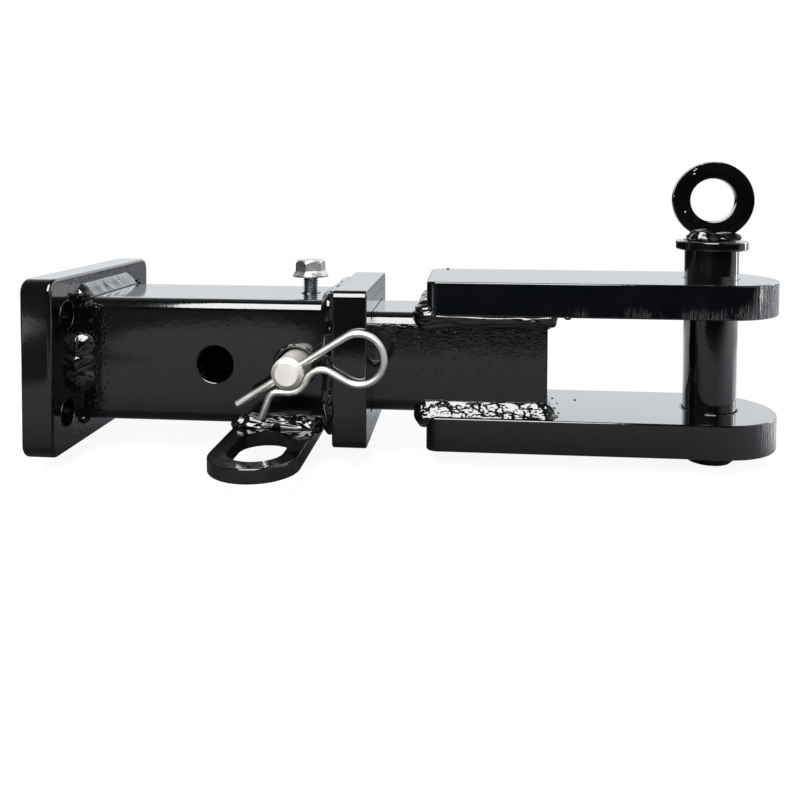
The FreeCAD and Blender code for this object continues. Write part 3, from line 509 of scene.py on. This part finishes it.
weld_piece("plate_welds", "receiver", plate_bead)
weld_piece("collar_weld", "receiver", collar_bead)
weld_piece("chain_plate_welds", "receiver", chain_bead)
weld_piece("upper_clevis_welds", "drawbar", upper_bead)
weld_piece("lower_clevis_welds", "drawbar", lower_bead)
weld_piece("ring_weld", "clevis_pin", ring_bead, "pin_paint", 0.35 * MM)


def ring_piece(edge=0.45 * MM, turn_degrees=-8.0, around=160, corner_steps=5):
    """The pull ring as cut from plate: flat faces and tight edges, on the CAD ring's own sizes.

    It stands a little turned, as welded by hand.
    """
    low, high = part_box("pull_ring")
    centre = (low + high) / 2
    places = points_of(NODES["pull_ring"].data)
    reach = np.hypot(places[:, 0] - centre.x, places[:, 2] - centre.z)
    outer, inner = reach.max(), reach.min()
    corners = ((outer - edge, low.y + edge, -90), (outer - edge, high.y - edge, 0),
               (inner + edge, high.y - edge, 90), (inner + edge, low.y + edge, 180))
    profile = []
    for radius, level, start in corners:
        for step in range(corner_steps + 1):
            angle = math.radians(start + 90 * step / corner_steps)
            profile.append((radius + edge * math.cos(angle), level + edge * math.sin(angle)))
    bm = bmesh.new()
    rows = []
    for step in range(around):
        angle = 2 * math.pi * step / around
        rows.append([bm.verts.new((centre.x + radius * math.cos(angle), level,
                                   centre.z + radius * math.sin(angle))) for radius, level in profile])
    grid_faces(bm, rows + rows[:1])
    bmesh.ops.recalc_face_normals(bm, faces=bm.faces[:])
    bmesh.ops.rotate(bm, verts=bm.verts[:], cent=centre,
                     matrix=Matrix.Rotation(math.radians(turn_degrees), 3, "Z"))
    obj = new_object("cut_pull_ring", smooth_mesh(bm, "cut_pull_ring", 50), "ring")
    place_piece(obj, "clevis_pin", "pin_paint", "pull_ring")


ring_piece()

# The bolt's finer sizes, in metres
SKIRT_HEIGHT = 1.7 * MM
CROWN_SHARE, CROWN_SLOPE, CROWN_DROP = 0.97, math.radians(50), 0.15 * MM
HEAD_STEPS, THREAD_STEPS = 144, 48
THREAD_PITCH = 1.25 * MM
THREAD_CREST, THREAD_ROOT, THREAD_TIP = 3.97 * MM, 3.3 * MM, 2.9 * MM
THREAD_PROFILE = ((0.0, THREAD_ROOT), (0.12, THREAD_ROOT), (0.44, THREAD_CREST), (0.62, THREAD_CREST),
                  (0.94, THREAD_ROOT))


def bolt_ring(spot, turn, radius, level):
    """A ring of points. The radius and the level are each a number or a function of the angle."""
    made = []
    for step in range(HEAD_STEPS):
        angle = turn + 2 * math.pi * step / HEAD_STEPS
        made.append(spot(angle, radius(angle) if callable(radius) else radius,
                         level(angle) if callable(level) else level))
    return made


def bolt_head(bm, spot, turn, across, flange_radius, flange_low, rim_high, top):
    """Flange, skirt and hexagon with a bevelled crown. Edges are rounded by tenths of a millimetre."""
    hex_foot = rim_high + SKIRT_HEIGHT
    crown = across * CROWN_SHARE

    def hexagon(angle):
        part = (angle - turn) % math.radians(60) - math.radians(30)
        return across / math.cos(part)

    def crown_edge(angle):
        return top - (hexagon(angle) - crown) * math.tan(CROWN_SLOPE) - CROWN_DROP

    outline = [
        (THREAD_ROOT, flange_low),
        (flange_radius - 0.5 * MM, flange_low),
        (flange_radius - 0.12 * MM, flange_low + 0.12 * MM),
        (flange_radius, flange_low + 0.45 * MM),
        (flange_radius, rim_high - 0.3 * MM),
        (flange_radius - 0.25 * MM, rim_high),
        (lambda angle: hexagon(angle) + 0.35 * MM, hex_foot - 0.25 * MM),
        (lambda angle: hexagon(angle) + 0.03 * MM, hex_foot + 0.35 * MM),
        (hexagon, hex_foot + 0.8 * MM),
        (hexagon, lambda angle: crown_edge(angle) - 0.2 * MM),
        (lambda angle: hexagon(angle) - 0.12 * MM, crown_edge),
        (crown, top - 0.12 * MM),
        (crown - 0.3 * MM, top),
        (crown * 0.55, top - 0.1 * MM),
    ]
    rings = [bolt_ring(spot, turn, radius, level) for radius, level in outline]
    grid_faces(bm, rings)
    bm.faces.new(rings[-1])
    bm.faces.new(list(reversed(rings[0])))


def bolt_thread(bm, spot, turn, tip, flange_low):
    """A rolled thread from the bevelled tip to the flange, one helical strip joined to its next turn."""
    turns = int((flange_low - tip) / THREAD_PITCH) + 3
    start = tip - 1.5 * THREAD_PITCH
    rows = []
    for step in range(turns * THREAD_STEPS):
        angle = 2 * math.pi * step / THREAD_STEPS
        row = []
        for share, radius in THREAD_PROFILE:
            level = start + THREAD_PITCH * (step / THREAD_STEPS + share)
            level = min(max(level, tip), flange_low + 0.2 * MM)
            row.append(spot(angle, min(radius, THREAD_TIP + (level - tip)), level))
        rows.append(row)
    for step in range(len(rows) - 1):
        here, there = rows[step], rows[step + 1]
        for index in range(len(THREAD_PROFILE) - 1):
            bm.faces.new((here[index], there[index], there[index + 1], here[index + 1]))
        if step + 1 + THREAD_STEPS < len(rows):
            above, after = rows[step + THREAD_STEPS], rows[step + 1 + THREAD_STEPS]
            bm.faces.new((here[-1], there[-1], after[0], above[0]))
    bm.faces.new(list(reversed(bolt_ring(spot, turn, THREAD_TIP, tip))))


def bolt_piece():
    """A flanged hexagon bolt with a rolled thread, on the CAD bolt's own sizes and turn."""
    low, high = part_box("anti_rattle_bolt")
    centre = (low + high) / 2
    places = points_of(NODES["anti_rattle_bolt"].data)
    around = np.hypot(places[:, 0] - centre.x, places[:, 1] - centre.y)
    flange_radius = around.max()
    rim = places[around > flange_radius - 0.01 * MM]
    flange_low, rim_high = rim[:, 2].min(), rim[:, 2].max()
    above_skirt = places[:, 2] > rim_high + 2.2 * MM
    corner = places[above_skirt][np.argmax(around[above_skirt])]
    turn = math.atan2(corner[1] - centre.y, corner[0] - centre.x)
    across = around[above_skirt].max() * math.cos(math.radians(30))
    bm = bmesh.new()

    def spot(angle, radius, level):
        return bm.verts.new((centre.x + radius * math.cos(angle), centre.y + radius * math.sin(angle), level))

    bolt_head(bm, spot, turn, across, flange_radius, flange_low, rim_high, high.z)
    bolt_thread(bm, spot, turn, low.z, flange_low)
    bmesh.ops.dissolve_degenerate(bm, dist=1e-7, edges=bm.edges[:])
    bmesh.ops.recalc_face_normals(bm, faces=bm.faces[:])
    for face in bm.faces:
        face.material_index = 1 if face.calc_center_median().z < flange_low - 0.05 * MM else 0
    obj = new_object("threaded_flange_bolt", smooth_mesh(bm, "threaded_flange_bolt", 24), "zinc", "thread")
    place_piece(obj, "anti_rattle_bolt", "zinc_steel", "anti_rattle_bolt")


bolt_piece()


def paint_lips(name, body, centres, radius, bead, stand=Matrix.Identity(3), around=120, section=12):
    """A ragged ring of thick paint round each hole's edge. Sizes are in millimetres."""
    bm = bmesh.new()
    for centre in centres:
        rows = []
        for step in range(around):
            angle = 2 * math.pi * step / around
            way = Vector((math.cos(angle), math.sin(angle), 0.0))
            thick = bead * (1 + 0.5 * swell(way * radius, 3.0, 16))
            row = []
            for turn in range(section):
                lean = 2 * math.pi * turn / section
                reach = radius + bead + thick * math.cos(lean)
                spot = way * reach + Vector((0, 0, thick * math.sin(lean)))
                row.append(bm.verts.new((centre + stand @ spot) * MM))
            rows.append(row)
        grid_faces(bm, rows + rows[:1])
    bmesh.ops.recalc_face_normals(bm, faces=bm.faces[:])
    place_piece(new_object(name, smooth_mesh(bm, name), "paint"), body, "black_paint")


def paint_nibs(name, body, nibs):
    """Small drops and runs of paint. Each is a place and three half-widths in millimetres."""
    bm = bmesh.new()
    for spot, wide in nibs:
        size = Matrix.Diagonal((*wide, 1.0))
        turn = Matrix.Scale(MM, 4) @ Matrix.Translation(spot) @ size
        bmesh.ops.create_icosphere(bm, subdivisions=3, radius=1.0, matrix=turn)
    place_piece(new_object(name, smooth_mesh(bm, name), "paint"), body, "black_paint")


# Holes with a lip of paint, and drops of paint on the drawbar, in millimetres
PLATE_HOLE_Y, PLATE_HOLE_Z = 44.0, 24.5
HITCH_HOLE_X, HITCH_HOLE_Z = 128.9, -1.2
PLATE_HOLES = [Vector((PLATE_FACE, side * PLATE_HOLE_Y, level * PLATE_HOLE_Z))
               for side in (-1, 1) for level in (-1, 1)]
HITCH_HOLES = [Vector((HITCH_HOLE_X, side * TUBE_HALF, HITCH_HOLE_Z)) for side in (-1, 1)]
FACING_X = Matrix.Rotation(math.radians(90), 3, "Y")
FACING_Y = Matrix.Rotation(math.radians(90), 3, "X")
DRAWBAR_NIBS = [
    ((203.7, 29.5, UPPER_HIGH.z), (0.9, 0.9, 0.7)),
    ((263.9, -31.4, UPPER_LOW.z), (1.7, 0.8, 1.0)),
    ((272.9, 9.6, LOWER_HIGH.z), (0.9, 0.9, 0.5)),
    ((259.6, -24.0, LOWER_HIGH.z), (1.0, 1.2, 0.9)),
    ((261.4, -17.0, LOWER_HIGH.z), (0.7, 0.8, 0.5)),
    ((260.2, -8.0, LOWER_HIGH.z), (0.8, 0.8, 0.6)),
    ((262.6, 2.0, LOWER_HIGH.z), (0.6, 0.7, 0.4)),
    ((261.0, 12.0, LOWER_HIGH.z), (0.7, 0.7, 0.5)),
]

paint_lips("bolt_hole_paint_lip", "receiver", [Vector((*BOLT_MIDDLE.xy, TUBE_HALF))], radius=4.3, bead=0.5)
paint_lips("lower_pin_hole_paint_lip", "drawbar", [Vector((*PIN_MIDDLE.xy, LOWER_HIGH.z))],
           radius=13.9, bead=0.38)
paint_lips("plate_hole_paint_lips", "receiver", PLATE_HOLES, radius=7.1, bead=0.22, stand=FACING_X)
paint_lips("pin_hole_paint_lips", "receiver", HITCH_HOLES, radius=10.0, bead=0.75, stand=FACING_Y)
paint_nibs("drawbar_paint_nibs", "drawbar", DRAWBAR_NIBS)

for label, node in NODES.items():
    finish_with(node, FINISH[label])

# The studio, in metres
FLOOR_HALF = 4.0
# Floor colours seen only in reflections: a pale painted pool of light, and dark painted shade outside it,
# darker to the right. The pool's share, middle and sizes, and its lobes, place this painted light.
FLOOR_PAINTED_LIGHT = (0.77, 0.8, 0.83, 1)
FLOOR_PAINTED_SHADE_LEFT, FLOOR_PAINTED_SHADE_RIGHT = (0.03, 0.032, 0.03, 1), (0.008, 0.01, 0.013, 1)
POOL = 0.2
POOL_MIDDLE, POOL_WIDE, POOL_DEEP = 0.2, 0.45, 0.345
FRONT_LOBE, LEFT_LOBE = (-0.02, -0.36, CAD_LOW.z), (-0.3, -0.41, CAD_LOW.z)
SEEN_GREY, SEEN_GLOW = (0.12, 0.12, 0.12, 1), 0.92
SWEEP_LOW, SWEEP_HIGH = 0.85, 1.4
ROOM_TINT, WHITE = (0.93, 0.965, 1.0, 1), (1, 1, 1, 1)


def pool_reach(graph, right, back):
    """Distance from the middle of the lit pool, 1 on its edge."""
    wide = graph.math("DIVIDE", graph.math("SUBTRACT", right, POOL_MIDDLE), POOL_WIDE)
    deep = graph.math("DIVIDE", back, POOL_DEEP)
    return graph.math("SQRT", graph.math("ADD", graph.times(wide, wide), graph.times(deep, deep)))


def painted_floor_light(graph, place, right, back, reach):
    """Share of the floor's painted light: a painted pool of light with its lobes, painted shade close in
    front of the object, and painted light on the floor beside, behind and far off.
    """
    pool = graph.highest(graph.ramp(reach, 1.02, 0.9, 0.0, POOL),
                         graph.ramp(graph.distance(place, FRONT_LOBE), 0.11, 0.08, 0.0, POOL))
    # Painted shade: the pool is darker close in front of the object, except towards the right.
    under = graph.highest(graph.ramp(back, -0.07, -0.18, 0.35, 1.0), graph.ramp(right, 0.12, 0.22))
    pool = graph.times(pool, under, graph.ramp(back, -0.05, -0.13, 0.6, 1.0))
    # Painted light: a pale patch on the floor to the front left.
    left_lobe = graph.ramp(graph.distance(place, LEFT_LOBE), 0.12, 0.09, 0.0, 3 * POOL)
    beside = graph.times(graph.ramp(right, 0.1, 1.0), graph.ramp(back, -0.45, -0.1))
    behind = graph.times(graph.ramp(reach, 1.5, 0.9), graph.ramp(back, -0.03, 0.04))
    far_off = graph.times(graph.ramp(right, -0.3, 0.8), graph.ramp(back, 0.05, 0.5))
    return graph.highest(pool, left_lobe, beside, behind, far_off)


def floor_material():
    """In reflections its colour is painted light and shade: painted pale in the pool of light, painted dark
    outside it. The camera sees it as white with a soft shadow.
    """
    material = bpy.data.materials.new("studio_floor")
    material.use_nodes = True
    graph = Graph(material.node_tree)
    place = graph.add("ShaderNodeTexCoord").outputs["Object"]
    right, back, _ = graph.axes(place)
    reach = pool_reach(graph, right, back)
    # Painted shade: the floor's colour outside the pool of light, darker to the right.
    dark = graph.mix(graph.ramp(right, -0.12, 0.2), FLOOR_PAINTED_SHADE_LEFT, FLOOR_PAINTED_SHADE_RIGHT)
    painted_light_tone = graph.mix(painted_floor_light(graph, place, right, back, reach), dark, FLOOR_PAINTED_LIGHT)
    lit = graph.add("ShaderNodeBsdfDiffuse", {"Color": painted_light_tone})
    grey = graph.add("ShaderNodeBsdfDiffuse", {"Color": SEEN_GREY})
    glow = graph.add("ShaderNodeEmission", {"Color": WHITE, "Strength": SEEN_GLOW})
    shadowed = graph.add("ShaderNodeAddShader", {0: grey.outputs[0], 1: glow.outputs[0]})
    plain = graph.add("ShaderNodeEmission", {"Color": WHITE, "Strength": 1.0})
    seen = graph.blend(graph.ramp(reach, 1.0, 3.0), shadowed.outputs[0], plain.outputs[0])
    sight = graph.add("ShaderNodeLightPath").outputs["Is Camera Ray"]
    graph.add("ShaderNodeOutputMaterial", {"Surface": graph.blend(sight, lit.outputs[0], seen)})
    return material


def studio_floor():
    bm = bmesh.new()
    bm.faces.new([bm.verts.new((x * FLOOR_HALF, y * FLOOR_HALF, CAD_LOW.z))
                  for x, y in ((-1, -1), (1, -1), (1, 1), (-1, 1))])
    floor = new_object("floor", smooth_mesh(bm, "floor"))
    floor.data.materials.append(floor_material())


def studio_world():
    """White to the camera. Behind the object a bright sweep, above and in front a dim room."""
    world = bpy.data.worlds.new("studio")
    SCENE.world = world
    world.use_nodes = True
    graph = Graph(world.node_tree)
    x, y, z = graph.axes(graph.add("ShaderNodeTexCoord").outputs["Generated"])
    rising = graph.ramp(z, 0.09, 0.28, SWEEP_LOW, SWEEP_HIGH)
    horizon = graph.ramp(z, 0.015, 0.075)
    falling = graph.ramp(z, 0.4, 0.85, 1.0, 0.1)
    back = graph.ramp(y, -0.15, 0.3)
    left = graph.ramp(x, -0.8, -0.5, 0.06, 1.0)
    sweep = graph.times(rising, horizon, falling, back, left)
    sides = graph.math("ADD", graph.ramp(x, -0.2, -0.6, 0.012, 0.07), graph.ramp(x, 0.3, 0.8, 0.0, 0.6))
    light = graph.math("ADD", sweep, sides)
    room = graph.add("ShaderNodeBackground", {"Color": ROOM_TINT, "Strength": light})
    white = graph.add("ShaderNodeBackground", {"Color": WHITE, "Strength": 1.0})
    sight = graph.add("ShaderNodeLightPath").outputs["Is Camera Ray"]
    graph.add("ShaderNodeOutputWorld", {"Surface": graph.blend(sight, room.outputs[0], white.outputs[0])})


def soft_box(name, place, aim, width, height, power):
    data = bpy.data.lights.new(name, "AREA")
    data.shape = "RECTANGLE"
    data.size, data.size_y = width, height
    data.energy = power
    lamp = bpy.data.objects.new(name, data)
    SCENE.collection.objects.link(lamp)
    lamp.location = place
    lamp.rotation_mode = "QUATERNION"
    lamp.rotation_quaternion = (Vector(aim) - Vector(place)).to_track_quat("-Z", "Y")


CAMERA_PLACE = (0.21700, -0.44216, 0.09149)
CAMERA_ROLL, CAMERA_TILT, CAMERA_TURN = 0.003095, 0.038839, -0.088087


def photo_camera():
    """The camera stands in front, a little above and turned slightly to its left."""
    data = bpy.data.cameras.new("camera")
    data.sensor_width = 36.0
    data.lens = 37.58
    data.shift_x = 0.00216
    data.shift_y = -0.23189
    data.clip_start = 0.01
    turns = ((CAMERA_ROLL, "Y"), (CAMERA_TILT, "X"), (CAMERA_TURN, "Z"))
    roll, tilt, turn = (Matrix.Rotation(angle, 3, axis) for angle, axis in turns)
    right, forward, up = roll @ tilt @ turn
    basis = Matrix((right, up, -forward)).transposed().to_4x4()
    camera = bpy.data.objects.new("camera", data)
    SCENE.collection.objects.link(camera)
    camera.matrix_world = Matrix.Translation(CAMERA_PLACE) @ basis
    SCENE.camera = camera


studio_floor()
studio_world()
soft_box("front_soft_box", place=(0.07, -0.88, 0.88), aim=(0.15, 0.0, 0.0),
         width=0.86, height=1.2, power=35.0)
soft_box("right_strip_light", place=(0.86, 0.24, 0.12), aim=(0.35, 0.0, 0.05),
         width=0.06, height=0.34, power=0.4)
photo_camera()
SCENE.view_settings.view_transform = "Standard"

bpy.context.view_layer.update()
